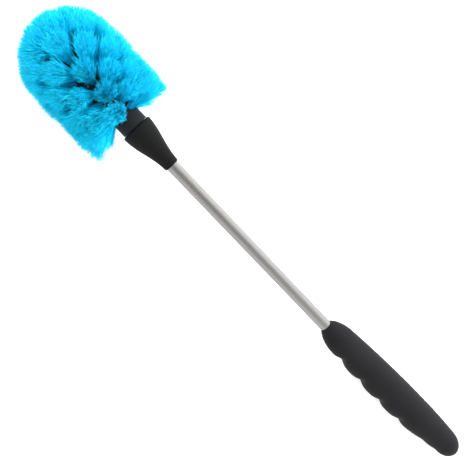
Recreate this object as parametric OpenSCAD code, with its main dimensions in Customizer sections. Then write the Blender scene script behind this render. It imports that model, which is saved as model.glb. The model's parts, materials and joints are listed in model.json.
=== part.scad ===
// Wheel brush: a round brush head on a tube handle with a moulded grip.
// The brush lies on a flat surface, on its rear bristles and the end of its grip.
// +X runs towards the brush head, +Z is up and the finger grooves face +Y.
// Inside the modules, x = 0 is the collar's mouth on the tube, and the brush's axis is the x axis.

/* [Brush head] */
// Diameter over the trimmed bristles
head_d = 73; // [60:0.5:90]
// Diameter of the core that holds the tufts
core_d = 20.4; // [17:0.1:26]
// Rings of tufts along the straight part of the core
ring_count = 7; // [4:1:9]
// Distance from one ring to the next
ring_pitch = 7; // [6:0.1:9]
// Distance from the collar to the first ring
neck_l = 12.4; // [8:0.1:20]
// Distance from the last ring to the centre of the domed end
dome_step = 4.4; // [2:0.1:8]
// Tufts in each ring
ring_tufts = 8; // [6:1:8]
// Diameter of a tuft hole in the straight part
hole_d = 4.2; // [3.4:0.1:4.6]
// Diameter of a tuft hole in the domed end
dome_hole_d = 2.8; // [2.2:0.1:3.6]
// Least wall between the bottoms of two tuft holes
hole_web = 0.6; // [0.4:0.1:0.9]
// Diameter that a tuft has fanned out to, fan_l from the core
tuft_end_d = 12.6; // [8:0.1:13.4]
// Diameter that a tuft on the domed end has fanned out to, fan_l from the core
dome_tuft_end_d = 15; // [10:0.5:17]
// Distance from the core at which the two diameters above hold
fan_l = 26.3; // [20:0.1:40]
// Lean of the first ring towards the dome, in degrees
lean_first = 0; // [-4:0.5:2]
// Lean of the last ring towards the dome, in degrees
lean_last = 35; // [8:0.5:36]
// Diameter of the wire that anchors a tuft
anchor_d = 0.6; // [0.4:0.1:0.8]

/* [Handle tube] */
// Outside diameter of the tube
tube_d = 9.5; // [8:0.1:11.5]
// Wall of the tube
tube_wall = 1; // [0.7:0.1:1.5]
// Length of tube that shows between the collar and the grip
bare_l = 168; // [90:1:400]
// Length of tube inside the brush head
socket_l = 23; // [16:0.5:25]
// Length of tube inside the grip
grip_tube_l = 112; // [60:1:116]

/* [Collar] */
// Length of the collar
collar_l = 36; // [34:0.5:60]
// Diameter of the collar at its rim, against the neck
rim_d = 23.6; // [22:0.1:30]
// Wall of the collar where it grips the tube
collar_wall = 1.1; // [0.8:0.1:2]
// Round on the rim's edge
rim_round = 1.4; // [0.5:0.1:1.6]
// Wall of the core's shank around the tube
shank_wall = 2.3; // [1.6:0.1:3]
// Diameter of the cross pin
pin_d = 3; // [2:0.1:4]

/* [Grip] */
// Length of the grip
grip_l = 159.5; // [140:0.5:200]
// Greatest height of the grip's back over the tube's axis
back_r = 16.3; // [13:0.1:19]
// Greatest height of the grip's finger side over the tube's axis
finger_r = 12.2; // [11:0.1:15]
// Height of the finger side at the end of the grip
tail_r = 5.4; // [4:0.1:8]
// Greatest width across the grip
grip_w = 25; // [21:0.5:32]
// Number of finger grooves
finger_count = 4; // [3:1:4]
// Distance from one finger groove to the next
finger_pitch = 23.6; // [20:0.1:26]
// Distance from the grip's nose to the first finger groove
finger_first = 29.4; // [24:0.1:34]
// Depth of a finger groove
finger_depth = 2.5; // [1:0.1:3]
// Half width of a finger groove
finger_half_w = 4.8; // [3.5:0.1:6]
// Outside diameter of the hard core inside the grip
grip_core_d = 13; // [12.5:0.1:14]

/* [Fits] */
// Gap on each side of a fit between two pieces
fit_gap = 0.05; // [0.03:0.01:0.1]

/* [Hidden] */
RING_NODES = [for (k = [1:ring_count]) str("tuft_ring_", k)];
$fn = 64;

bristle_cyan = "#1cbde6";
moulded_black = "#38383a";
soft_black = "#2a2a2c";
tube_silver = "#c9c9c6";
wire_grey = "#9a9a98";

// Brush head
head_r = head_d / 2;
core_r = core_d / 2;
first_ring_x = collar_l + neck_l;
dome_x = first_ring_x + (ring_count - 1) * ring_pitch + dome_step;
dome_lat = [36, 63, 90];                // latitude of each ring on the domed end
dome_tufts = [ring_tufts, 5, 1];
lean_curve = 2.2;                       // makes the lean grow faster towards the dome
// The bottoms of neighbouring holes keep hole_web between them
hole_l = core_r - (hole_d + hole_web) / (2 * sin(180 / ring_tufts));
dome_hole_l = core_r - (dome_hole_d + hole_web) / (2 * sin((dome_lat[2] - dome_lat[1]) / 2));
anchor_seat = 0.05;                     // an anchor lies this far over the bottom of its hole
root_clear = 0.1;                       // from an anchor to the tuft above it
// A tuft starts to widen once it is clear of its hole's rim
flare_start = hole_d / 2 * tan(lean_last) + 0.4;

// Collar, shank and tube
tail_d = tube_d + 2 * (fit_gap + collar_wall);
shank_d = tube_d + 2 * (fit_gap + shank_wall);
seam_gap = 0.2;                         // between the collar's rim and the neck's shoulder
shank_l = 16;
shank_x = collar_l - shank_l;
tube_front_x = shank_x + socket_l;
tube_rear_x = -bare_l - grip_tube_l;
pin_x = shank_x + shank_l / 2;
pin_sunk = 0.2;                         // the pin's ends lie below the shank's surface
pin_l = shank_d - 2 * pin_sunk;
collar_steps = 24;

// Grip
grip_x = -bare_l;                       // nose of the grip
grip_rings = 92;
grip_sides = 32;
crowding = 0.7;                         // draws the grip's rings together towards its ends
nose_l = 20;                            // length of the rounded nose
nose_cut = 2;                           // cut off the nose's tip, where the tube comes out
tail_l = 14;                            // length of the rounded tail
end_power = 2.1;                        // 2 would make nose and tail elliptical
back_peak = 112;                        // from the nose to the highest point of the back
back_fall_front = 0.00045;              // fall of the back for each square millimetre from its peak
back_fall_rear = 0.0009;
finger_peak = 69;                       // from the nose to the fullest point of the finger side
finger_fall = 0.00056;
tail_from = 94;                         // the finger side draws in from here to the end of the grip
tail_tip_l = 5.3;                       // the last stretch of the grip, at its full draw-in
tail_to = grip_l - tail_tip_l;
groove_spread = 2;                      // how quickly a groove fades round the grip
ripple_depth = 0.6;                     // two shallow ripples behind the finger grooves
ripple_at = [28, 44];                   // from the last finger groove
nose_skin = 9;                          // of the soft grip, in front of the hard core
grip_core_x = grip_x - nose_skin;
core_back_l = 4;                        // of the hard core, behind the end of the tube
plug_l = 8;
plug_flange_l = 1.5;

function sq(x) = x * x;
function ease(x) = let (w = min(1, max(0, x))) w * w * (3 - 2 * w);
function lean(k) =
    lean_first + (lean_last - lean_first) * pow((k - 1) / (ring_count - 1), lean_curve);
function superround(d, l) =
    d >= l ? 1 : pow(1 - pow((l - max(0, d)) / l, end_power), 1 / end_power);

// Height of the grip's back, t behind its nose
function back(t) =
    back_r - (t < back_peak ? back_fall_front : back_fall_rear) * sq(t - back_peak);
// Height of its finger side without the grooves
function finger_side(t) =
    finger_r - finger_fall * sq(min(t, tail_from) - finger_peak)
    - (finger_r - finger_fall * sq(tail_from - finger_peak) - tail_r)
      * ease((t - tail_from) / (tail_to - tail_from));
function dent(t, at, depth) = depth * exp(-sq((t - at) / finger_half_w));
last_groove = finger_first + (finger_count - 1) * finger_pitch;
function total(v, i = 0) = i < len(v) ? v[i] + total(v, i + 1) : 0;
function grooves(t) =
    total([for (k = [0:finger_count - 1]) dent(t, finger_first + k * finger_pitch, finger_depth)])
    + total([for (r = ripple_at) dent(t, last_groove + r, ripple_depth)]);
function grip_round(t) = superround(t + nose_cut, nose_l) * superround(grip_l - t, tail_l);
widest = (back(finger_peak) + finger_side(finger_peak)) / 2;
function half_width(t) =
    grip_w / 2 * (back(t) + finger_side(t)) / 2 / widest * grip_round(t);
// A point of the grip's surface: t behind the nose, at angle a from the finger side
function grip_point(t, a) =
    let (
        half_h = (back(t) + finger_side(t)) / 2 * grip_round(t),
        mid = (finger_side(t) - back(t)) / 2,
        cut = grooves(t) * grip_round(t) * pow(max(0, cos(a)), groove_spread)
    )
    [grip_x - t, mid + half_h * cos(a) - cut, half_width(t) * sin(a)];
function ring_t(i) =
    let (u = i / grip_rings) grip_l * (u - crowding * sin(360 * u) / 360 * 180 / PI);

// The brush rests on the rear edge of its first ring and on its grip
tuft_root_d = hole_d - 2 * fit_gap;
trimmed_tuft_d = tuft_root_d
    + (tuft_end_d - tuft_root_d) * (head_r - core_r - flare_start) / (fan_l - flare_start);
rest_x = first_ring_x + (head_r - core_r) * tan(lean_first) - trimmed_tuft_d / 2;
lie = min([for (i = [1:grip_rings]) let (t = ring_t(i))
    atan((head_r - half_width(t)) / (rest_x - grip_x + t))]);
lift = head_r * cos(lie) - rest_x * sin(lie);
front_x = dome_x * cos(lie) + head_r;
rear_x = min([for (i = [1:grip_rings]) let (t = ring_t(i))
    (grip_x - t) * cos(lie) - half_width(t) * sin(lie)]);
middle_x = (front_x + rear_x) / 2;

module lay() {
    translate([-middle_x, 0, lift]) rotate([0, -lie, 0]) children();
}

// A cylinder or cone along the brush's axis, from x to x + l
module rod(x, l, d1, d2) {
    translate([x, 0, 0]) rotate([0, 90, 0]) cylinder(h = l, d1 = d1, d2 = d2);
}

// Puts its children at a hole's mouth, with +Z pointing out of the hole
module at_hole(x, turn, latitude, tuft_lean) {
    translate([x, 0, 0])
        rotate([turn, 0, 0]) rotate([0, latitude, 0]) translate([0, 0, core_r])
            rotate([0, tuft_lean, 0]) children();
}

module at_ring(k) {
    for (i = [0:ring_tufts - 1])
        at_hole(first_ring_x + (k - 1) * ring_pitch, (i + (k - 1) % 2 / 2) * 360 / ring_tufts,
                0, lean(k)) children();
}

module at_dome(k) {
    for (i = [0:dome_tufts[k] - 1])
        at_hole(dome_x, (i + (ring_count + k) % 2 / 2) * 360 / dome_tufts[k],
                dome_lat[k], 0) children();
}

module tuft_hole(d, l) {
    translate([0, 0, -l]) cylinder(h = l + 3, d = d);
}

// A tuft fills its hole above the anchor, then fans out until it is trimmed. The fan is the same
// however short it is trimmed, so neighbouring tufts stay apart on a smaller head.
module tuft(d, l, end_d) {
    root = l - anchor_seat - anchor_d - root_clear;
    root_r = d / 2 - fit_gap;
    widening = (end_d / 2 - root_r) / (fan_l - flare_start);
    past = 8;                           // the fan runs past the trimmed surface and is cut there
    fan_h = head_r - core_r - flare_start + past;
    rotate_extrude() polygon([
        [0, -root], [root_r, -root], [root_r, flare_start],
        [root_r + widening * fan_h, flare_start + fan_h], [0, flare_start + fan_h]
    ]);
}

module anchor(d, l) {
    translate([0, 0, anchor_seat + anchor_d / 2 - l])
        rotate([90, 0, 0]) cylinder(h = d - 4 * fit_gap, d = anchor_d, center = true);
}

// The trimmed outline that every tuft ends at
module trimmed_outline() {
    rod(collar_l - head_r, dome_x - collar_l + head_r, head_d, head_d);
    translate([dome_x, 0, 0]) sphere(d = head_d);
}

module brush_core() {
    color(moulded_black) lay() difference() {
        union() {
            rod(shank_x, shank_l + seam_gap + 1, shank_d, shank_d);
            rod(collar_l + seam_gap, dome_x - collar_l - seam_gap, core_d, core_d);
            translate([dome_x, 0, 0]) sphere(d = core_d);
        }
        rod(shank_x - 1, socket_l + 1, tube_d + 2 * fit_gap, tube_d + 2 * fit_gap);
        translate([pin_x, 0, 0]) cylinder(h = shank_d + 2, d = pin_d + 2 * fit_gap, center = true);
        for (k = [1:ring_count]) at_ring(k) tuft_hole(hole_d, hole_l);
        for (k = [0:2]) at_dome(k) tuft_hole(dome_hole_d, dome_hole_l);
    }
}

module tuft_ring(k) {
    color(bristle_cyan) lay() intersection() {
        at_ring(k) tuft(hole_d, hole_l, tuft_end_d);
        trimmed_outline();
    }
}

module dome_ring(k) {
    color(bristle_cyan) lay() intersection() {
        at_dome(k) tuft(dome_hole_d, dome_hole_l, dome_tuft_end_d);
        trimmed_outline();
    }
}

module tuft_anchors() {
    color(wire_grey) lay() {
        for (k = [1:ring_count]) at_ring(k) anchor(hole_d, hole_l);
        for (k = [0:2]) at_dome(k) anchor(dome_hole_d, dome_hole_l);
    }
}

// The collar swells along a cosine curve from the tube to its rim
module collar() {
    straight = collar_l - rim_round;
    swell = [for (i = [0:collar_steps]) let (x = straight * i / collar_steps)
        [tail_d / 2 + (rim_d - tail_d) / 2 * (1 - cos(180 * x / collar_l)) / 2, x]];
    edge_r = swell[collar_steps][0] - rim_round;
    rim = [for (a = [10:10:90]) [edge_r + rim_round * cos(a), straight + rim_round * sin(a)]];
    bore = [
        [shank_d / 2 + fit_gap, collar_l],
        [shank_d / 2 + fit_gap, shank_x - seam_gap],
        [tube_d / 2 + fit_gap, shank_x - seam_gap],
        [tube_d / 2 + fit_gap, 0]
    ];
    color(soft_black) lay() rotate([90, 0, 90])
        rotate_extrude() polygon(concat(swell, rim, bore));
}

module cross_pin() {
    color(wire_grey) lay() translate([pin_x, 0, 0]) cylinder(h = pin_l, d = pin_d, center = true);
}

module tube() {
    bore_d = tube_d - 2 * tube_wall;
    color(tube_silver) lay() difference() {
        rod(tube_rear_x, tube_front_x - tube_rear_x, tube_d, tube_d);
        rod(tube_rear_x - 1, tube_front_x - tube_rear_x + 2, bore_d, bore_d);
        translate([pin_x, 0, 0]) cylinder(h = tube_d + 2, d = pin_d + 2 * fit_gap, center = true);
    }
}

module tube_plug() {
    stem_d = tube_d - 2 * (tube_wall + fit_gap);
    color(moulded_black) lay() {
        rod(tube_rear_x - plug_flange_l, plug_flange_l, tube_d, tube_d);
        rod(tube_rear_x - plug_flange_l, plug_flange_l + plug_l, stem_d, stem_d);
    }
}

module grip_core() {
    rear_x = tube_rear_x - plug_flange_l - core_back_l;
    seat_x = tube_rear_x - plug_flange_l - fit_gap;
    bore_d = tube_d + 2 * fit_gap;
    color(moulded_black) lay() difference() {
        rod(rear_x, grip_core_x - rear_x, grip_core_d, grip_core_d);
        rod(seat_x, grip_core_x - seat_x + 1, bore_d, bore_d);
    }
}

module grip() {
    n = grip_sides;
    skin = [for (i = [0:grip_rings - 1]) for (j = [0:n - 1]) grip_point(ring_t(i), 360 * j / n)];
    tip = [grip_point(grip_l, 0)];
    last = len(skin);
    walls = [for (i = [0:grip_rings - 2]) for (j = [0:n - 1])
        let (a = i * n + j, b = i * n + (j + 1) % n) each [[a, b, b + n], [a, b + n, a + n]]];
    nose = [[for (j = [0:n - 1]) n - 1 - j]];
    tail = [for (j = [0:n - 1]) [last - n + j, last - n + (j + 1) % n, last]];
    rear_x = tube_rear_x - plug_flange_l - core_back_l;
    bore_d = tube_d + 2 * fit_gap;
    cavity_d = grip_core_d + 2 * fit_gap;
    color(soft_black) lay() difference() {
        polyhedron(points = concat(skin, tip), faces = concat(walls, nose, tail));
        rod(grip_core_x, grip_x - grip_core_x + 5, bore_d, bore_d);
        rod(rear_x - fit_gap, grip_core_x - rear_x + 2 * fit_gap, cavity_d, cavity_d);
    }
}

brush_core();
for (k = [1:ring_count]) tuft_ring(k);
dome_ring(0);  // dome_ring_1
dome_ring(1);  // dome_ring_2
dome_ring(2);  // tip_tuft
tuft_anchors();
collar();
cross_pin();
tube();
tube_plug();
grip_core();
grip();
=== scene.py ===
"""Finishes for a wheel brush: bristles, collar, tube and grip around the fixed CAD model."""

import json
import math
import random

import bmesh
import bpy
from mathutils import Matrix, Vector


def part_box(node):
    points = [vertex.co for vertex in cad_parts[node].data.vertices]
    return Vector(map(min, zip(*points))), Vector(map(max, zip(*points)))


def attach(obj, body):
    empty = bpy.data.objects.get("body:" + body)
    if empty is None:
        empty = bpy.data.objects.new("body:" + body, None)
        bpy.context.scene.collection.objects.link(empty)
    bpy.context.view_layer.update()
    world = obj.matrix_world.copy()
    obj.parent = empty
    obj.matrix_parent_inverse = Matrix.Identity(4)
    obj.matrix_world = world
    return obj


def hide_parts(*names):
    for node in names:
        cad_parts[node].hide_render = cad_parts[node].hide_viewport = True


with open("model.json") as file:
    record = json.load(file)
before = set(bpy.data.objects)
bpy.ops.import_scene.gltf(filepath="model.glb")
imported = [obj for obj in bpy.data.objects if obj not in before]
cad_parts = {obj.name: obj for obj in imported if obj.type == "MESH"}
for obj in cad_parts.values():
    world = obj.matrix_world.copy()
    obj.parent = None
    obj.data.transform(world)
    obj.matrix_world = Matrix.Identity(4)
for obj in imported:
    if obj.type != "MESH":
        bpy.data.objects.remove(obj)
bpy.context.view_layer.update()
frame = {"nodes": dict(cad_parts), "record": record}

bl_info = {
    "name": "Wheel Brush",
    "version": (1, 0, 0),
    "blender": (4, 5, 0),
    "location": "View3D > Sidebar > Wheel Brush",
    "description": "Makes the bristles, collar, tube and grip of a wheel brush",
    "category": "Object",
}

MM = 0.001
ROOT = "root"

# The brush's own axis: its origin is the collar's mouth on the tube, +x runs towards the head,
# +y is the side with the finger grooves.
TUBE_CLIP = next(m for m in frame["record"]["mounts"] if m["name"] == "tube_clip")
AXIS = Vector(TUBE_CLIP["axis"]).normalized()
MOUTH = Vector(TUBE_CLIP["pos_m"]) + AXIS * TUBE_CLIP["dims"]["length_mm"] * MM / 2
SIDE = Vector((0, 1, 0))
UP = AXIS.cross(SIDE)
BRUSH = Matrix.Translation(MOUTH) @ Matrix((AXIS, SIDE, UP)).transposed().to_4x4()
BARE_L = TUBE_CLIP["dims"]["length_mm"]
LIE = math.asin(AXIS.z)


def node_width(node):
    """Size of a CAD node across the brush, in millimetres."""
    low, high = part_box(node)
    return (high.y - low.y) / MM


# ---------------------------------------------------------------- sizes and colours


def size(name, default, description, low=0.0, high=500.0):
    """A length in millimetres."""
    return bpy.props.FloatProperty(
        name=name, description=description + ", in millimetres", default=default, min=low, max=high
    )


def share(name, default, description):
    """A part of one, or of a tuft's half width."""
    return bpy.props.FloatProperty(
        name=name, description=description, default=default, min=0.0, max=1.0, subtype="FACTOR"
    )


def linear(code):
    """An sRGB hex value as a linear colour."""
    values = [int(code[i : i + 2], 16) / 255 for i in (1, 3, 5)]
    return tuple(v / 12.92 if v <= 0.04045 else ((v + 0.055) / 1.055) ** 2.4 for v in values) + (1,)


def colour(name, code, description):
    """A colour, from its sRGB hex value."""
    return bpy.props.FloatVectorProperty(
        name=name, description=description, default=linear(code),
        size=4, min=0, max=1, subtype="COLOR",
    )


class BRUSH_PG_bristles(bpy.types.PropertyGroup):
    head_d: size("Head", node_width("tuft_ring_1"), "Diameter over the trimmed bristles")
    core_d: size("Core", 20.4, "Diameter of the core that holds the tufts")
    first_ring_x: size("First ring", 48.4, "Distance from the collar's mouth to the first ring")
    ring_pitch: size("Ring pitch", 7.0, "Distance from one ring to the next")
    dome_step: size("Dome step", 4.4, "Distance from the last ring to the centre of the dome")
    hole_d: size("Hole", 4.2, "Diameter of a tuft hole")
    dome_hole_d: size("Dome hole", 2.8, "Diameter of a tuft hole in the domed end")
    root_l: size("Root", 3.1, "Length of a tuft inside its hole")
    dome_root_l: size("Dome root", 2.1, "Length of a tuft inside its hole in the domed end")
    fan_l: size("Fan length", 26.3, "Distance from the core at which the fan's widths hold")
    fan_x: size("Fan along", 7.5, "Half width of a fanned tuft along the brush")
    fan_round: size("Fan round", 8.8, "Half width of a fanned tuft round the brush")
    dome_fan: size("Dome fan", 13.0, "Half width of a fanned tuft on the domed end")
    bristle_d: size("Bristle", 0.40, "Thickness of a bristle where it leaves the core")
    tip_d: size("Tip", 0.16, "Thickness of a bristle at its tip")
    uneven: size("Trim", 2.1, "How unevenly the bristles are trimmed")
    proud: size("Proud", 1.0, "How far the longest trimmed bristles stand over the trim")
    tuft_uneven: size("Tuft trim", 1.1, "How much shorter one tuft may be than the next")
    fray: size("Fray", 0.6, "How far a frayed tip stands off its bristle's line")
    parting: size("Parting", 4.2, "How far the uppermost tufts are combed apart at their ends")
    first_ahead: size("First ahead", 2.2, "How far the first ring's uppermost tuft is combed ahead")
    rear_finger: size("Rear finger side", 7.5, "How far the first ring leans back on that side")
    rear_back: size("Rear back side", 3.3, "How far the first ring leans back on the other side")
    rear_trim: size("Rear trim", 5.0, "How much shorter the rearmost bristles are")
    stray_back: size("Strays", 6.0, "How far the loosest bristles of the first ring lean back")
    sway: size("Sway", 0.42, "How far a bristle bows out on its way")
    missed: size("Missed", 1.5, "How far a bristle that the trim missed stands out")
    missed_share: share("Missed share", 0.05, "Share of the bristles that the trim missed")
    gather: share("Gather", 0.4, "How strongly a tuft's ends gather into clumps")
    wander: share("Wander", 0.09, "How far a bristle strays from its place in the fan")
    far_wander: share("Far wander", 0.22, "How far a loose bristle strays among its neighbours")
    loose_share: share("Loose share", 0.17, "Share of the bristles that are loose")
    lean_first: bpy.props.FloatProperty(
        name="First lean", description="Lean of the first ring towards the dome",
        default=0.0, subtype="ANGLE",
    )
    lean_last: bpy.props.FloatProperty(
        name="Last lean", description="Lean of the last ring towards the dome",
        default=math.radians(35), subtype="ANGLE",
    )
    lean_curve: bpy.props.FloatProperty(
        name="Lean curve", description="Makes the lean grow faster towards the dome", default=2.2
    )
    ring_count: bpy.props.IntProperty(name="Rings", description="Rings of tufts", default=7)
    ring_tufts: bpy.props.IntProperty(name="Tufts", description="Tufts in a ring", default=8)
    clumps: bpy.props.IntProperty(
        name="Clumps", description="Clumps that a tuft's ends gather into", default=24, min=1
    )
    filaments: bpy.props.IntProperty(
        name="Bristles", description="Bristles in a tuft", default=540, min=3
    )
    steps: bpy.props.IntProperty(
        name="Steps", description="Lengths that a bristle is made of", default=5, min=2
    )
    seed: bpy.props.IntProperty(name="Seed", description="Seed of the bristles' scatter", default=7)
    # Painted shade: the roots are coloured darker to stand for the shade deep in the head
    root_shade_colour: colour("Root colour", "#0a94ca", "Colour of the bristles deep in the head")
    body_colour: colour("Bristle colour", "#0ccdee", "Colour of the bristles")
    tip_colour: colour("Tip colour", "#27d9f2", "Colour of the bristles' frayed tips")


class BRUSH_PG_handle(bpy.types.PropertyGroup):
    collar_l: size("Collar", 36.0, "Length of the collar")
    rim_d: size("Rim", 23.6, "Diameter of the collar at its rim")
    tail_d: size("Tail", 11.8, "Diameter of the collar at its mouth")
    rim_round: size("Rim round", 1.4, "Round on the rim's edge")
    shank_d: size("Shank", 14.3, "Bore of the collar over the core's shank")
    shank_l: size("Shank length", 16.2, "Length of the bore over the shank")
    tube_d: size("Tube", node_width("tube"), "Outside diameter of the tube")
    fit: size("Fit", 0.05, "Gap on each side of a fit")
    grip_tube_l: size("Tube in grip", 112.0, "Length of tube inside the grip")
    collar_colour: colour("Collar colour", "#0c0c0c", "Colour of the collar")
    core_colour: colour("Core colour", "#18191b", "Colour of the core")
    tube_colour: colour("Tube colour", "#c6c5c2", "Colour of the tube")
    grip_colour: colour("Grip colour", "#161618", "Colour of the grip")


class BRUSH_PG_grip(bpy.types.PropertyGroup):
    length: size("Length", 159.5, "Length of the grip")
    back_r: size("Back", 16.3, "Greatest height of the back over the tube's axis")
    finger_r: size("Finger side", 12.2, "Greatest height of the finger side over the axis")
    tail_r: size("Tail", 5.4, "Height of the finger side at the end of the grip")
    width: size("Width", 25.0, "Greatest width across the grip")
    finger_pitch: size("Finger pitch", 23.6, "Distance from one finger groove to the next")
    finger_first: size("First groove", 29.4, "Distance from the nose to the first groove")
    finger_depth: size("Groove depth", 2.5, "Depth of a finger groove")
    finger_half_w: size("Groove width", 4.8, "Half width of a finger groove")
    core_d: size("Hard core", 13.0, "Outside diameter of the hard core inside the grip")
    core_front: size("Core front", 9.0, "Distance from the nose to the hard core")
    cavity_rear: size("Cavity rear", 5.55, "How far the hard core's cavity runs on behind the tube")


PIECE_GROUPS = {
    "brush_bristles": BRUSH_PG_bristles,
    "brush_handle": BRUSH_PG_handle,
    "brush_grip": BRUSH_PG_grip,
}


# ---------------------------------------------------------------- materials


def new_material(name):
    """An empty material, its node tree and its shader."""
    material = bpy.data.materials.new(name)
    material.use_nodes = True
    tree = material.node_tree
    tree.nodes.clear()
    shader = tree.nodes.new("ShaderNodeBsdfPrincipled")
    output = tree.nodes.new("ShaderNodeOutputMaterial")
    tree.links.new(shader.outputs["BSDF"], output.inputs["Surface"])
    return material, tree, shader


def add(tree, kind, values=(), links=(), stops=(), **settings):
    """Adds a node: values are {input: value}, links {input: output}, stops a ramp's colours."""
    made = tree.nodes.new(kind)
    for key, value in settings.items():
        setattr(made, key, value)
    for key, value in dict(values).items():
        made.inputs[key].default_value = value
    for key, socket in dict(links).items():
        tree.links.new(socket, made.inputs[key])
    if stops:
        elements = made.color_ramp.elements
        while len(elements) < len(stops):
            elements.new(0.5)
        for element, (at, value) in zip(elements, stops):
            element.position, element.color = at, value
    return made


def shaded(base, part):
    """A colour made lighter or darker."""
    return tuple(v * part for v in base[:3]) + (1,)


def bristle_nylon(settings):
    """Flagged nylon bristle: extruded, dyed through, frayed at the tip.

    To the eye: a saturated blue, painted darker at the roots as the shade deep in the head where
    little light gets in, and paling at the split tips, with each bristle a little lighter or darker
    than the next.
    """
    material, tree, shader = new_material("flagged_nylon_bristle")
    along = add(tree, "ShaderNodeAttribute", attribute_name="along")
    tint = add(tree, "ShaderNodeAttribute", attribute_name="tint")
    root, body, tip = settings.root_shade_colour, settings.body_colour, settings.tip_colour
    # The ramp paints shade onto the roots: the root colour stands for the shade between the tufts
    shade = add(
        tree, "ShaderNodeValToRGB", links={"Fac": along.outputs["Fac"]},
        stops=[(0.0, root), (0.5, body), (0.86, body), (1.0, tip)],
    )
    # A bristle is up to about a quarter darker or lighter than the dye
    spread = add(
        tree, "ShaderNodeMapRange",
        {"From Min": 0.0, "From Max": 1.0, "To Min": 0.74, "To Max": 1.26},
        {"Value": tint.outputs["Fac"]},
    )
    tinted = add(
        tree, "ShaderNodeHueSaturation", {"Hue": 0.5, "Saturation": 1.0},
        {"Value": spread.outputs["Result"], "Color": shade.outputs["Color"]},
    )
    tree.links.new(tinted.outputs["Color"], shader.inputs["Base Color"])
    shader.inputs["Roughness"].default_value = 0.42
    shader.inputs["IOR"].default_value = 1.53
    shader.inputs["Specular IOR Level"].default_value = 0.08
    return material


def moulded_black(name, base, grain_mm, roughness, relief_mm, sheen):
    """Moulded black plastic or rubber with the fine spark-eroded grain of its mould."""
    material, tree, shader = new_material(name)
    where = add(tree, "ShaderNodeTexCoord")
    grain = add(
        tree, "ShaderNodeTexNoise", {"Scale": 1 / (grain_mm * MM), "Detail": 3.0, "Roughness": 0.6},
        {"Vector": where.outputs["Object"]},
    )
    # Handling leaves broad, faint differences in shine, about 18 mm across
    wear = add(
        tree, "ShaderNodeTexNoise", {"Scale": 1 / (18 * MM), "Detail": 2.0, "Roughness": 0.5},
        {"Vector": where.outputs["Object"]},
    )
    tone = add(
        tree, "ShaderNodeValToRGB", links={"Fac": wear.outputs["Fac"]},
        stops=[(0.3, shaded(base, 0.86)), (0.7, shaded(base, 1.16))],
    )
    shine = add(
        tree, "ShaderNodeMapRange",
        {"From Min": 0.3, "From Max": 0.7, "To Min": roughness - 0.06, "To Max": roughness + 0.06},
        {"Value": wear.outputs["Fac"]},
    )
    bump = add(
        tree, "ShaderNodeBump", {"Strength": 0.5, "Distance": relief_mm * MM},
        {"Height": grain.outputs["Fac"]},
    )
    tree.links.new(tone.outputs["Color"], shader.inputs["Base Color"])
    tree.links.new(shine.outputs["Result"], shader.inputs["Roughness"])
    tree.links.new(bump.outputs["Normal"], shader.inputs["Normal"])
    shader.inputs["IOR"].default_value = 1.5
    shader.inputs["Specular IOR Level"].default_value = 0.2
    shader.inputs["Sheen Weight"].default_value = sheen
    shader.inputs["Sheen Roughness"].default_value = 0.5
    return material


def satin_aluminium(settings):
    """Drawn aluminium tube with a satin anodised skin.

    To the eye: a soft bright metal with fine draw lines along it, which stretch its highlights
    round the tube, and faint differences in shine from handling.
    """
    material, tree, shader = new_material("satin_anodised_aluminium")
    where = add(tree, "ShaderNodeTexCoord")
    # Real draw lines lie about 0.05 mm apart; drawn 0.5 mm apart and 60 mm long so that they show
    along = add(
        tree, "ShaderNodeMapping", {"Rotation": (0, LIE, 0), "Scale": (1 / 60, 2.0, 2.0)},
        {"Vector": where.outputs["Object"]},
    )
    lines = add(
        tree, "ShaderNodeTexNoise", {"Scale": 1 / MM, "Detail": 2.0, "Roughness": 0.55},
        {"Vector": along.outputs["Vector"]},
    )
    base = settings.tube_colour
    tone = add(
        tree, "ShaderNodeValToRGB", links={"Fac": lines.outputs["Fac"]},
        stops=[(0.3, shaded(base, 0.97)), (0.7, shaded(base, 1.03))],
    )
    shine = add(
        tree, "ShaderNodeMapRange",
        {"From Min": 0.3, "From Max": 0.7, "To Min": 0.20, "To Max": 0.30},
        {"Value": lines.outputs["Fac"]},
    )
    bump = add(
        tree, "ShaderNodeBump", {"Strength": 0.12, "Distance": 0.02 * MM},
        {"Height": lines.outputs["Fac"]},
    )
    tree.links.new(tone.outputs["Color"], shader.inputs["Base Color"])
    tree.links.new(shine.outputs["Result"], shader.inputs["Roughness"])
    tree.links.new(bump.outputs["Normal"], shader.inputs["Normal"])
    shader.inputs["Metallic"].default_value = 1.0
    return material


def steel_wire():
    """Bright drawn steel wire, for the tuft anchors and the cross pin."""
    material, tree, shader = new_material("drawn_steel_wire")
    where = add(tree, "ShaderNodeTexCoord")
    # Die marks about 0.2 mm apart
    marks = add(
        tree, "ShaderNodeTexNoise", {"Scale": 1 / (0.2 * MM), "Detail": 2.0},
        {"Vector": where.outputs["Object"]},
    )
    tone = add(
        tree, "ShaderNodeValToRGB", links={"Fac": marks.outputs["Fac"]},
        stops=[(0.3, linear("#8f8e8b")), (0.7, linear("#b2b1ad"))],
    )
    tree.links.new(tone.outputs["Color"], shader.inputs["Base Color"])
    shader.inputs["Metallic"].default_value = 1.0
    shader.inputs["Roughness"].default_value = 0.35
    return material


# ---------------------------------------------------------------- making pieces


def finish_piece(bm, name, material, nodes, smooth=True):
    """Makes the object of a piece and hides the CAD nodes that it stands for."""
    mesh = bpy.data.meshes.new(name)
    bm.to_mesh(mesh)
    bm.free()
    mesh.materials.append(material)
    if smooth:
        mesh.shade_smooth()
    piece = bpy.data.objects.new(name, mesh)
    bpy.context.scene.collection.objects.link(piece)
    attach(piece, ROOT)
    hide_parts(*nodes)
    return piece


def dress_node(node, material):
    """Gives a CAD node that keeps its own shape its material."""
    materials = frame["nodes"][node].data.materials
    if len(materials):
        for i in range(len(materials)):
            materials[i] = material
    else:
        materials.append(material)


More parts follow.
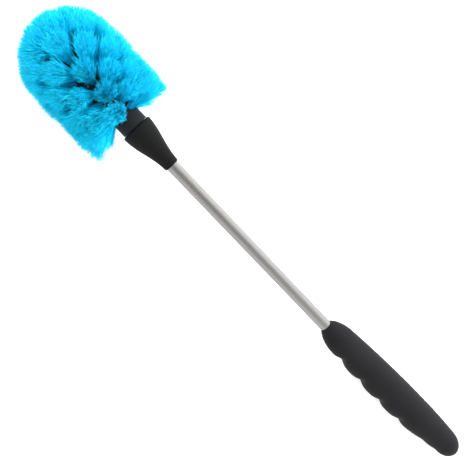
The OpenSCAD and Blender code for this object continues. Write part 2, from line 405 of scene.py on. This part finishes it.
def loft(sides, rings):
    """A skin extruded from ring to ring; each ring is a function from an angle to a point."""
    bm = bmesh.new()
    bmesh.ops.create_circle(bm, segments=sides, radius=1.0)
    turn = bm.verts.layers.float.new("turn")
    for i, v in enumerate(bm.verts):
        v[turn] = math.tau * i / sides
        v.co = rings[0](v[turn])
    edges = list(bm.edges)
    for ring in rings[1:]:
        made = bmesh.ops.extrude_edge_only(bm, edges=edges)["geom"]
        for v in (g for g in made if isinstance(g, bmesh.types.BMVert)):
            v.co = ring(v[turn])
        edges = [g for g in made if isinstance(g, bmesh.types.BMEdge)]
    return bm


def circle(x, radius):
    """A ring round the brush's axis, in millimetres."""
    return lambda a: BRUSH @ (Vector((x, radius * math.cos(a), radius * math.sin(a))) * MM)


# ---------------------------------------------------------------- bristles


# The turn from one bristle to the next, which spreads them evenly over their hole
GOLDEN_ANGLE = math.pi * (3 - math.sqrt(5))
# Ranges that a tuft's bristles are drawn from: how far the parting takes one tuft beside the next,
# how far out a clump lies in the fan, how light it is, and how weakly a bristle may follow it
PARTING_RANGE = (0.7, 1.15)
CLUMP_REACH = 0.95
CLUMP_LIGHT = (0.8, 1.2)
LEAST_GATHER = 0.05
# How much of the tint comes from the clump, and how much one bristle differs within it
CLUMP_TINT = 1.1
BRISTLE_TINT = 0.16
# How soon a bristle turns from its hole's direction into the fan; 1 would be a slow, even bend
BEND_POWER = 0.45
# How few of the first ring's rear bristles lean far back, and how late its rear trim sets in
STRAY_POWER = 5
REAR_TRIM_POWER = 3
# Tufts that lean sideways by less than this stand straight up
UPRIGHT = 0.01


class Tuft:
    """Where one tuft stands: its hole's mouth, its direction, and its two directions across."""

    def __init__(self, x, turn, latitude, lean, core_r):
        place = (
            Matrix.Translation((x, 0, 0))
            @ Matrix.Rotation(turn, 4, "X")
            @ Matrix.Rotation(latitude, 4, "Y")
            @ Matrix.Translation((0, 0, core_r))
            @ Matrix.Rotation(lean, 4, "Y")
        )
        self.mouth = place.translation.copy()
        turned_to = place.to_3x3()
        self.out = turned_to @ Vector((0, 0, 1))
        self.along = turned_to @ Vector((1, 0, 0))
        self.round = turned_to @ Vector((0, 1, 0))


def trim_length(start, direction, dome_x, radius):
    """How far from start a bristle reaches the trimmed outline: a cylinder with a domed end."""
    a = direction.y**2 + direction.z**2
    b = start.y * direction.y + start.z * direction.z
    c = start.y**2 + start.z**2 - radius**2
    if a > 1e-9:
        reach = (-b + math.sqrt(max(0.0, b * b - a * c))) / a
        if start.x + reach * direction.x <= dome_x:
            return reach
    off = start - Vector((dome_x, 0, 0))
    b = off.dot(direction)
    return -b + math.sqrt(max(0.0, b * b - (off.length_squared - radius**2)))


def bristle_paths(tuft, s, rng, hole_d, root_l, fan, dome_x, loose):
    """The line that each bristle of a tuft follows, as points in millimetres, with its tint."""
    shorter = rng.uniform(0, s.tuft_uneven)
    # The uppermost tufts are combed apart, less so towards the dome; a tuft that stands straight
    # up goes to the back side, but in the first ring to the finger side
    apart = 1 if tuft.out.y > (-UPRIGHT if loose else UPRIGHT) else -1
    upper = max(0.0, tuft.out.z) ** 2 * (1 - max(0.0, tuft.out.x)) ** 2
    ahead = s.first_ahead if loose else 0
    comb = Vector((ahead, apart * s.parting * rng.uniform(*PARTING_RANGE), 0)) * upper
    clumps = [
        (math.sqrt(rng.random()) * CLUMP_REACH, rng.random() * math.tau, rng.uniform(*CLUMP_LIGHT))
        for _ in range(s.clumps)
    ]
    clumps = [Vector((r * math.cos(a), r * math.sin(a), shade)) for r, a, shade in clumps]
    hole_r = (hole_d - s.bristle_d) / 2
    paths = []
    for i in range(s.filaments):
        spot_r, spot_a = math.sqrt((i + 0.5) / s.filaments), i * GOLDEN_ANGLE
        spot = Vector((spot_r * math.cos(spot_a), spot_r * math.sin(spot_a)))
        near = min(clumps, key=lambda c: (c.x - spot.x) ** 2 + (c.y - spot.y) ** 2)
        end = spot.lerp(Vector((near.x, near.y)), rng.uniform(LEAST_GATHER, s.gather))
        # Most bristles keep to their tuft; the loose ones wander in among its neighbours
        wander = s.far_wander if rng.random() < s.loose_share else s.wander
        end += Vector((rng.gauss(0, wander), rng.gauss(0, wander)))
        root = tuft.mouth + (tuft.along * spot.x + tuft.round * spot.y) * hole_r
        far = tuft.mouth + tuft.out * s.fan_l
        far += tuft.along * end.x * fan[0]
        far += tuft.round * end.y * fan[1]
        far += comb
        if loose and end.x < 0:
            # The first ring has no neighbour behind it, so its rear bristles lean back
            back = (s.rear_finger if tuft.out.y > 0 else s.rear_back) * -end.x
            back += s.stray_back * rng.random() ** STRAY_POWER
            far -= tuft.along * back * abs(tuft.out.y)
        direction = (far - root).normalized()
        length = trim_length(root, direction, dome_x, s.head_d / 2) - shorter
        length += rng.uniform(-s.uneven, s.proud)
        length += s.missed if rng.random() < s.missed_share else 0
        if loose:
            length -= s.rear_trim * min(1.0, max(0.0, -end.x)) ** REAR_TRIM_POWER
        sway = (tuft.along * rng.gauss(0, 1) + tuft.round * rng.gauss(0, 1)) * s.sway
        points = [root - tuft.out * root_l]
        for step in range(s.steps):
            u = (step + 1) / s.steps
            # Leaves the hole along the tuft, then bends out into the fan
            straight = root + tuft.out * length * u
            fanned = root + direction * length * u
            point = straight.lerp(fanned, u**BEND_POWER) + sway * math.sin(math.pi * u)
            if step == s.steps - 1:
                point += (tuft.along * rng.gauss(0, 1) + tuft.round * rng.gauss(0, 1)) * s.fray
            points.append(point)
        tint = 0.5 + (near.z - 1) * CLUMP_TINT + rng.gauss(0, BRISTLE_TINT)
        paths.append((points, min(1.0, max(0.0, tint))))
    return paths


def grow_bristles(tufts, s, rng, hole_d, root_l, fan, dome_x, loose=False):
    """A bmesh of every bristle of these tufts: a triangle at each root, extruded along its line."""
    lines, tints = [], []
    for tuft in tufts:
        for points, shade in bristle_paths(tuft, s, rng, hole_d, root_l, fan, dome_x, loose):
            lines.append([BRUSH @ (p * MM) for p in points])
            tints.append(shade)
    bm = bmesh.new()
    bmesh.ops.create_circle(bm, segments=3, radius=s.bristle_d * MM / 2, cap_ends=True)
    while len(bm.faces) < len(lines):
        more = list(bm.faces)[: len(lines) - len(bm.faces)]
        bmesh.ops.duplicate(bm, geom=more)
    number = bm.verts.layers.int.new("bristle")
    corner = bm.verts.layers.int.new("corner")
    along = bm.verts.layers.float.new("along")
    tint = bm.verts.layers.float.new("tint")
    # The lowest bristles rest on the floor and don't pass into it
    floor_z = 0.3 * MM

    across = []
    for line in lines:
        direction = (line[-1] - line[0]).normalized()
        first = direction.orthogonal().normalized()
        second = direction.cross(first)
        spin = rng.random() * math.tau
        across.append([
            first * math.cos(spin + k * math.tau / 3) + second * math.sin(spin + k * math.tau / 3)
            for k in range(3)
        ])

    def place(verts, step):
        part = step / s.steps
        thick = (s.bristle_d * (1 - part) + s.tip_d * part) * MM / 2
        for v in verts:
            i = v[number]
            v.co = lines[i][step] + across[i][v[corner]] * thick
            v.co.z = max(v.co.z, floor_z)
            v[along] = part

    for i, face in enumerate(bm.faces):
        for k, v in enumerate(face.verts):
            v[number], v[corner], v[tint] = i, k, tints[i]
    place(bm.verts, 0)
    ends = list(bm.faces)
    for step in range(1, s.steps + 1):
        # The root's face stays and closes the bristle; each later one moves on to the next ring
        geom = ends + list({e for face in ends for e in face.edges})
        made = bmesh.ops.extrude_face_region(bm, geom=geom, use_keep_orig=step == 1)["geom"]
        place([g for g in made if isinstance(g, bmesh.types.BMVert)], step)
        ends = [g for g in made if isinstance(g, bmesh.types.BMFace)]
    bmesh.ops.recalc_face_normals(bm, faces=bm.faces)

    # Each bristle has its own cell of the map, with a margin, so its own colours bake into it
    cells = math.ceil(math.sqrt(len(lines)))
    uv = bm.loops.layers.uv.new("OFBake")
    for face in bm.faces:
        for loop in face.loops:
            i = loop.vert[number]
            loop[uv].uv = (
                (i % cells + 0.15 + 0.35 * loop.vert[corner]) / cells,
                (i // cells + 0.1 + 0.8 * loop.vert[along]) / cells,
            )
    return bm


class BRUSH_OT_bristles(bpy.types.Operator):
    """Makes the rings of tufts along the core and over its domed end"""

    bl_idname = "wheel_brush.bristles"
    bl_label = "Bristles"

    # How many degrees above the dome's rim its rings of tufts lie
    dome_ring_1, dome_ring_2 = 36, 63
    dome_ring_2_tufts = 5

    def execute(self, context):
        s = context.scene.brush_bristles
        material = bristle_nylon(s)
        core_r = s.core_d / 2
        dome_x = s.first_ring_x + (s.ring_count - 1) * s.ring_pitch + s.dome_step
        turn = math.tau / s.ring_tufts
        for k in range(1, s.ring_count + 1):
            rng = random.Random(s.seed * 100 + k)
            x = s.first_ring_x + (k - 1) * s.ring_pitch
            lean = s.lean_first
            lean += (s.lean_last - s.lean_first) * ((k - 1) / (s.ring_count - 1)) ** s.lean_curve
            # Each ring's tufts stand between those of the ring before
            offset = (k - 1) % 2 / 2
            tufts = [Tuft(x, (i + offset) * turn, 0, lean, core_r) for i in range(s.ring_tufts)]
            bm = grow_bristles(
                tufts, s, rng, s.hole_d, s.root_l, (s.fan_x, s.fan_round), dome_x, loose=k == 1
            )
            name = f"tuft_ring_{k}"
            finish_piece(bm, name + "_bristles", material, [name], smooth=False)
        rings = [
            ("dome_ring_1", s.ring_tufts, self.dome_ring_1),
            ("dome_ring_2", self.dome_ring_2_tufts, self.dome_ring_2),
            ("tip_tuft", 1, 90),
        ]
        for k, (name, count, latitude) in enumerate(rings):
            rng = random.Random(s.seed * 100 + 50 + k)
            tufts = [
                Tuft(dome_x, (i + (s.ring_count + k) % 2 / 2) * math.tau / count,
                     math.radians(latitude), 0, core_r)
                for i in range(count)
            ]
            bm = grow_bristles(
                tufts, s, rng, s.dome_hole_d, s.dome_root_l, (s.dome_fan, s.dome_fan), dome_x
            )
            finish_piece(bm, name + "_bristles", material, [name], smooth=False)
        return {"FINISHED"}


# ---------------------------------------------------------------- core, collar and tube


class BRUSH_OT_core(bpy.types.Operator):
    """Finishes the moulded core, the tuft anchors, the cross pin and the hidden plastic pieces"""

    bl_idname = "wheel_brush.core"
    bl_label = "Core"

    def execute(self, context):
        s = context.scene.brush_handle
        # Moulded polypropylene, a little glossier than the rubber beside it
        core = moulded_black(
            "moulded_polypropylene", s.core_colour,
            grain_mm=0.5, roughness=0.46, relief_mm=0.03, sheen=0.0,
        )
        dress_node("brush_core", core)
        hidden = moulded_black(
            "moulded_abs", linear("#38383a"), grain_mm=0.4, roughness=0.5, relief_mm=0.02, sheen=0.0
        )
        for node in ("tube_plug", "grip_core"):
            dress_node(node, hidden)
        wire = steel_wire()
        for node in ("tuft_anchors", "cross_pin"):
            dress_node(node, wire)
        return {"FINISHED"}


class BRUSH_OT_collar(bpy.types.Operator):
    """Makes the tapered soft collar between the neck and the tube"""

    bl_idname = "wheel_brush.collar"
    bl_label = "Collar"

    def execute(self, context):
        s = context.scene.brush_handle
        # Thermoplastic rubber: soft and matt
        rubber = moulded_black(
            "moulded_rubber_collar", s.collar_colour,
            grain_mm=0.7, roughness=0.55, relief_mm=0.05, sheen=0.0,
        )
        tail_r, rim_r, straight = s.tail_d / 2, s.rim_d / 2, s.collar_l - s.rim_round
        outer = []
        steps, lip = 40, 0.5
        for i in range(steps + 1):
            x = straight * i / steps
            flare = (1 - math.cos(math.pi * x / s.collar_l)) / 2
            outer.append((x, tail_r + (rim_r - tail_r) * flare))
        # The mouth's edge is rounded by the mould
        outer = [(0.0, tail_r - lip), (0.12, tail_r - 0.2), (0.4, tail_r - 0.02)] + outer[1:]
        edge_r = outer[-1][1] - s.rim_round
        corners = [math.radians(a) for a in range(10, 91, 10)]
        rim = [
            (straight + s.rim_round * math.sin(a), edge_r + s.rim_round * math.cos(a))
            for a in corners
        ]
        bore = [
            (s.collar_l, s.shank_d / 2),
            (s.collar_l - s.shank_l, s.shank_d / 2),
            (s.collar_l - s.shank_l, s.tube_d / 2 + s.fit),
            (0.0, s.tube_d / 2 + s.fit),
        ]
        profile = outer + rim + bore
        bm = loft(96, [circle(x, r) for x, r in profile + profile[:1]])
        bmesh.ops.remove_doubles(bm, verts=bm.verts, dist=0.001 * MM)
        bmesh.ops.recalc_face_normals(bm, faces=bm.faces)
        piece = finish_piece(bm, "collar_sleeve", rubber, ["collar"])
        piece.data.set_sharp_from_angle(angle=math.radians(50))
        return {"FINISHED"}


class BRUSH_OT_tube(bpy.types.Operator):
    """Finishes the bare aluminium tube"""

    bl_idname = "wheel_brush.tube"
    bl_label = "Tube"

    def execute(self, context):
        dress_node("tube", satin_aluminium(context.scene.brush_handle))
        return {"FINISHED"}


# ---------------------------------------------------------------- grip


class GripShape:
    """The grip's surface, in the brush's own axes and millimetres."""

    nose_l, nose_cut, tail_l, power = 20.0, 2.0, 14.0, 2.1
    back_peak, fall_front, fall_rear = 112.0, 0.00045, 0.0009
    finger_peak, finger_fall, tail_from, tip_l = 69.0, 0.00056, 94.0, 5.3
    fingers, ripples, ripple_depth = 4, (28.0, 44.0), 0.6

    def __init__(self, s):
        self.s = s
        self.last_groove = s.finger_first + (self.fingers - 1) * s.finger_pitch
        self.widest = (self.back(self.finger_peak) + self.finger(self.finger_peak)) / 2

    def back(self, t):
        fall = self.fall_front if t < self.back_peak else self.fall_rear
        return self.s.back_r - fall * (t - self.back_peak) ** 2

    def finger(self, t):
        here = self.s.finger_r - self.finger_fall * (min(t, self.tail_from) - self.finger_peak) ** 2
        full = self.s.finger_r - self.finger_fall * (self.tail_from - self.finger_peak) ** 2
        w = (t - self.tail_from) / (self.s.length - self.tip_l - self.tail_from)
        w = min(1.0, max(0.0, w))
        return here - (full - self.s.tail_r) * w * w * (3 - 2 * w)

    def end_round(self, d, reach):
        if d >= reach:
            return 1.0
        inside = 1 - ((reach - max(0.0, d)) / reach) ** self.power
        return max(0.0, inside) ** (1 / self.power)

    def rounding(self, t):
        nose = self.end_round(t + self.nose_cut, self.nose_l)
        return nose * self.end_round(self.s.length - t, self.tail_l)

    def grooves(self, t):
        def dent(at, depth):
            return depth * math.exp(-(((t - at) / self.s.finger_half_w) ** 2))

        first, pitch, depth = self.s.finger_first, self.s.finger_pitch, self.s.finger_depth
        fingers = sum(dent(first + k * pitch, depth) for k in range(self.fingers))
        return fingers + sum(dent(self.last_groove + r, self.ripple_depth) for r in self.ripples)

    def point(self, t, angle):
        back, finger, rounding = self.back(t), self.finger(t), self.rounding(t)
        half_h = (back + finger) / 2 * rounding
        half_w = self.s.width / 2 * (back + finger) / 2 / self.widest * rounding
        cut = self.grooves(t) * rounding * max(0.0, math.cos(angle)) ** 2
        across = (finger - back) / 2 + half_h * math.cos(angle) - cut
        return BRUSH @ Vector(((-BARE_L - t) * MM, across * MM, half_w * math.sin(angle) * MM))


class BRUSH_OT_grip(bpy.types.Operator):
    """Makes the soft grip with its finger grooves"""

    bl_idname = "wheel_brush.grip"
    bl_label = "Grip"

    rings = 150
    sides = 72
    # Draws the rings together towards both ends, where the grip is most curved
    crowding = 0.7

    def execute(self, context):
        s, handle = context.scene.brush_grip, context.scene.brush_handle
        shape = GripShape(s)
        bore_r = handle.tube_d / 2 + handle.fit
        cavity_r = s.core_d / 2 + handle.fit
        # From the end of the hard core's cavity out to the nose, then over the outside to the tail
        front, back = -BARE_L - s.core_front, -BARE_L - handle.grip_tube_l - s.cavity_rear
        rings = [circle(back, cavity_r), circle(front, cavity_r)]
        rings += [circle(front, bore_r), circle(-BARE_L, bore_r)]
        for i in range(self.rings):
            u = i / self.rings
            t = s.length * (u - self.crowding * math.sin(math.tau * u) / math.tau)
            rings.append(lambda a, t=t: shape.point(t, a))
        bm = loft(self.sides, rings)
        ends = bmesh.ops.holes_fill(bm, edges=bm.edges)["faces"]
        # The tail closes on one point
        tail = min(ends, key=lambda f: f.calc_center_median().dot(AXIS))
        pole = bmesh.ops.poke(bm, faces=[tail])["verts"][0]
        pole.co = shape.point(s.length, 0)
        bmesh.ops.recalc_face_normals(bm, faces=bm.faces)
        # Thermoplastic rubber over a hard core: soft and matt, with a faint bloom
        rubber = moulded_black(
            "moulded_rubber_grip", handle.grip_colour,
            grain_mm=0.8, roughness=0.58, relief_mm=0.06, sheen=0.01,
        )
        piece = finish_piece(bm, "soft_grip", rubber, ["grip"])
        piece.data.set_sharp_from_angle(angle=math.radians(50))
        return {"FINISHED"}


# ---------------------------------------------------------------- stage


class BRUSH_OT_stage(bpy.types.Operator):
    """Makes the floor, the lights and the camera"""

    bl_idname = "wheel_brush.stage"
    bl_label = "Stage"

    # The camera leans back this far over the brush, with the head nearest
    tilt = math.radians(12.3)
    # The brush lies across the picture, with the head at the upper left
    roll = math.radians(46.25)
    distance = 436 * MM
    aim = -63.0 * MM
    lens = 46.45
    back_light = 1.22
    front_light = 0.76
    # The tent's brightness, from below the brush (0) over its sides (0.5) to the camera (1)
    tent_greys = (
        (0.0, 0.86), (0.28, 0.98), (0.5, 1.03), (0.68, 0.93), (0.82, 0.7), (0.92, 0.48), (1.0, 0.3),
    )
    floor_half = 6.0
    # Each softbox: its place, width and height in metres, and its power in watts
    softboxes = {
        "softbox_over": ((0.0, -0.45, 1.3), 2.4, 2.4, 38.0),
        "softbox_back": ((0.0, -1.05, 0.55), 1.4, 0.7, 22.0),
        "softbox_front": ((0.0, 1.0, 0.6), 1.4, 0.7, 2.5),
    }
    # The softboxes point at the brush's middle, this high over the floor
    middle = Vector((0, 0, 30 * MM))

    def execute(self, context):
        scene = context.scene
        back, forward = -AXIS, UP
        u = back * math.cos(self.tilt) + forward * math.sin(self.tilt)
        view = back * math.sin(self.tilt) - forward * math.cos(self.tilt)
        right = u * math.cos(self.roll) - SIDE * math.sin(self.roll)
        down = u * math.sin(self.roll) + SIDE * math.cos(self.roll)
        target = BRUSH @ Vector((self.aim, 0, 0))
        camera = bpy.data.objects.new("camera", bpy.data.cameras.new("camera"))
        scene.collection.objects.link(camera)
        place = Matrix((right, -down, -view)).transposed().to_4x4()
        place.translation = target - view * self.distance
        camera.matrix_world = place
        camera.data.sensor_width = 36
        camera.data.lens = self.lens
        camera.data.clip_start = 0.01
        scene.camera = camera

        bm = bmesh.new()
        bmesh.ops.create_grid(bm, x_segments=1, y_segments=1, size=self.floor_half)
        mesh = bpy.data.meshes.new("floor")
        bm.to_mesh(mesh)
        bm.free()
        floor = bpy.data.objects.new("floor", mesh)
        scene.collection.objects.link(floor)
        # A light table: matt white acrylic with a faint glow from below, which thins the shadows
        pale, _, shader = new_material("matt_white_acrylic")
        shader.inputs["Base Color"].default_value = linear("#f0f0f0")
        shader.inputs["Emission Color"].default_value = linear("#ffffff")
        shader.inputs["Emission Strength"].default_value = 0.3
        shader.inputs["Roughness"].default_value = 0.9
        shader.inputs["Specular IOR Level"].default_value = 0.1
        mesh.materials.append(pale)
        # The tube mirrors the tent below it too, and not the brightly lit floor
        floor.visible_glossy = False

        # A light tent: brighter on the back side, with a dim opening at the camera
        world = bpy.data.worlds.new("light_tent")
        world.use_nodes = True
        tree = world.node_tree
        background = tree.nodes["Background"]
        sky = add(tree, "ShaderNodeTexCoord")
        overhead = add(
            tree, "ShaderNodeVectorMath", {1: tuple(-view)}, {0: sky.outputs["Generated"]},
            operation="DOT_PRODUCT",
        )
        backward = add(
            tree, "ShaderNodeVectorMath", {1: (0, -1, 0)}, {0: sky.outputs["Generated"]},
            operation="DOT_PRODUCT",
        )
        half = add(
            tree, "ShaderNodeMapRange", {"From Min": -1.0}, {"Value": overhead.outputs["Value"]}
        )
        tent = add(
            tree, "ShaderNodeValToRGB", links={"Fac": half.outputs["Result"]},
            stops=[(at, (v, v, v, 1)) for at, v in self.tent_greys],
        )
        lean = add(
            tree, "ShaderNodeMapRange",
            {"From Min": -1.0, "To Min": self.front_light, "To Max": self.back_light},
            {"Value": backward.outputs["Value"]},
        )
        tree.links.new(tent.outputs["Color"], background.inputs["Color"])
        tree.links.new(lean.outputs["Result"], background.inputs["Strength"])
        scene.world = world

        for name, (at, width, height, power) in self.softboxes.items():
            lamp = bpy.data.lights.new(name, "AREA")
            lamp.shape, lamp.size, lamp.size_y, lamp.energy = "RECTANGLE", width, height, power
            holder = bpy.data.objects.new(name, lamp)
            scene.collection.objects.link(holder)
            holder.location = at
            aim = self.middle - Vector(at)
            holder.rotation_euler = aim.to_track_quat("-Z", "Y").to_euler()
            # The boxes only fill; the tent is what the tube mirrors
            holder.visible_glossy = False
        scene.view_settings.view_transform = "Standard"
        return {"FINISHED"}


# ---------------------------------------------------------------- add-on


class BRUSH_PT_panel(bpy.types.Panel):
    """Lists the brush's pieces"""

    bl_idname = "BRUSH_PT_panel"
    bl_label = "Wheel Brush"
    bl_space_type = "VIEW_3D"
    bl_region_type = "UI"
    bl_category = "Wheel Brush"

    def draw(self, context):
        for operator in OPERATORS:
            self.layout.operator(operator.bl_idname)


OPERATORS = (
    BRUSH_OT_stage, BRUSH_OT_core, BRUSH_OT_collar, BRUSH_OT_tube, BRUSH_OT_grip, BRUSH_OT_bristles,
)


def register():
    for group in PIECE_GROUPS.values():
        bpy.utils.register_class(group)
    for name, group in PIECE_GROUPS.items():
        setattr(bpy.types.Scene, name, bpy.props.PointerProperty(type=group))
    for operator in OPERATORS:
        bpy.utils.register_class(operator)
    bpy.utils.register_class(BRUSH_PT_panel)


def unregister():
    bpy.utils.unregister_class(BRUSH_PT_panel)
    for operator in reversed(OPERATORS):
        bpy.utils.unregister_class(operator)
    for name, group in PIECE_GROUPS.items():
        delattr(bpy.types.Scene, name)
        bpy.utils.unregister_class(group)


def main():
    register()
    bpy.ops.wheel_brush.stage()
    bpy.ops.wheel_brush.core()
    bpy.ops.wheel_brush.collar()
    bpy.ops.wheel_brush.tube()
    bpy.ops.wheel_brush.grip()
    bpy.ops.wheel_brush.bristles()


if __name__ == "__main__":
    main()
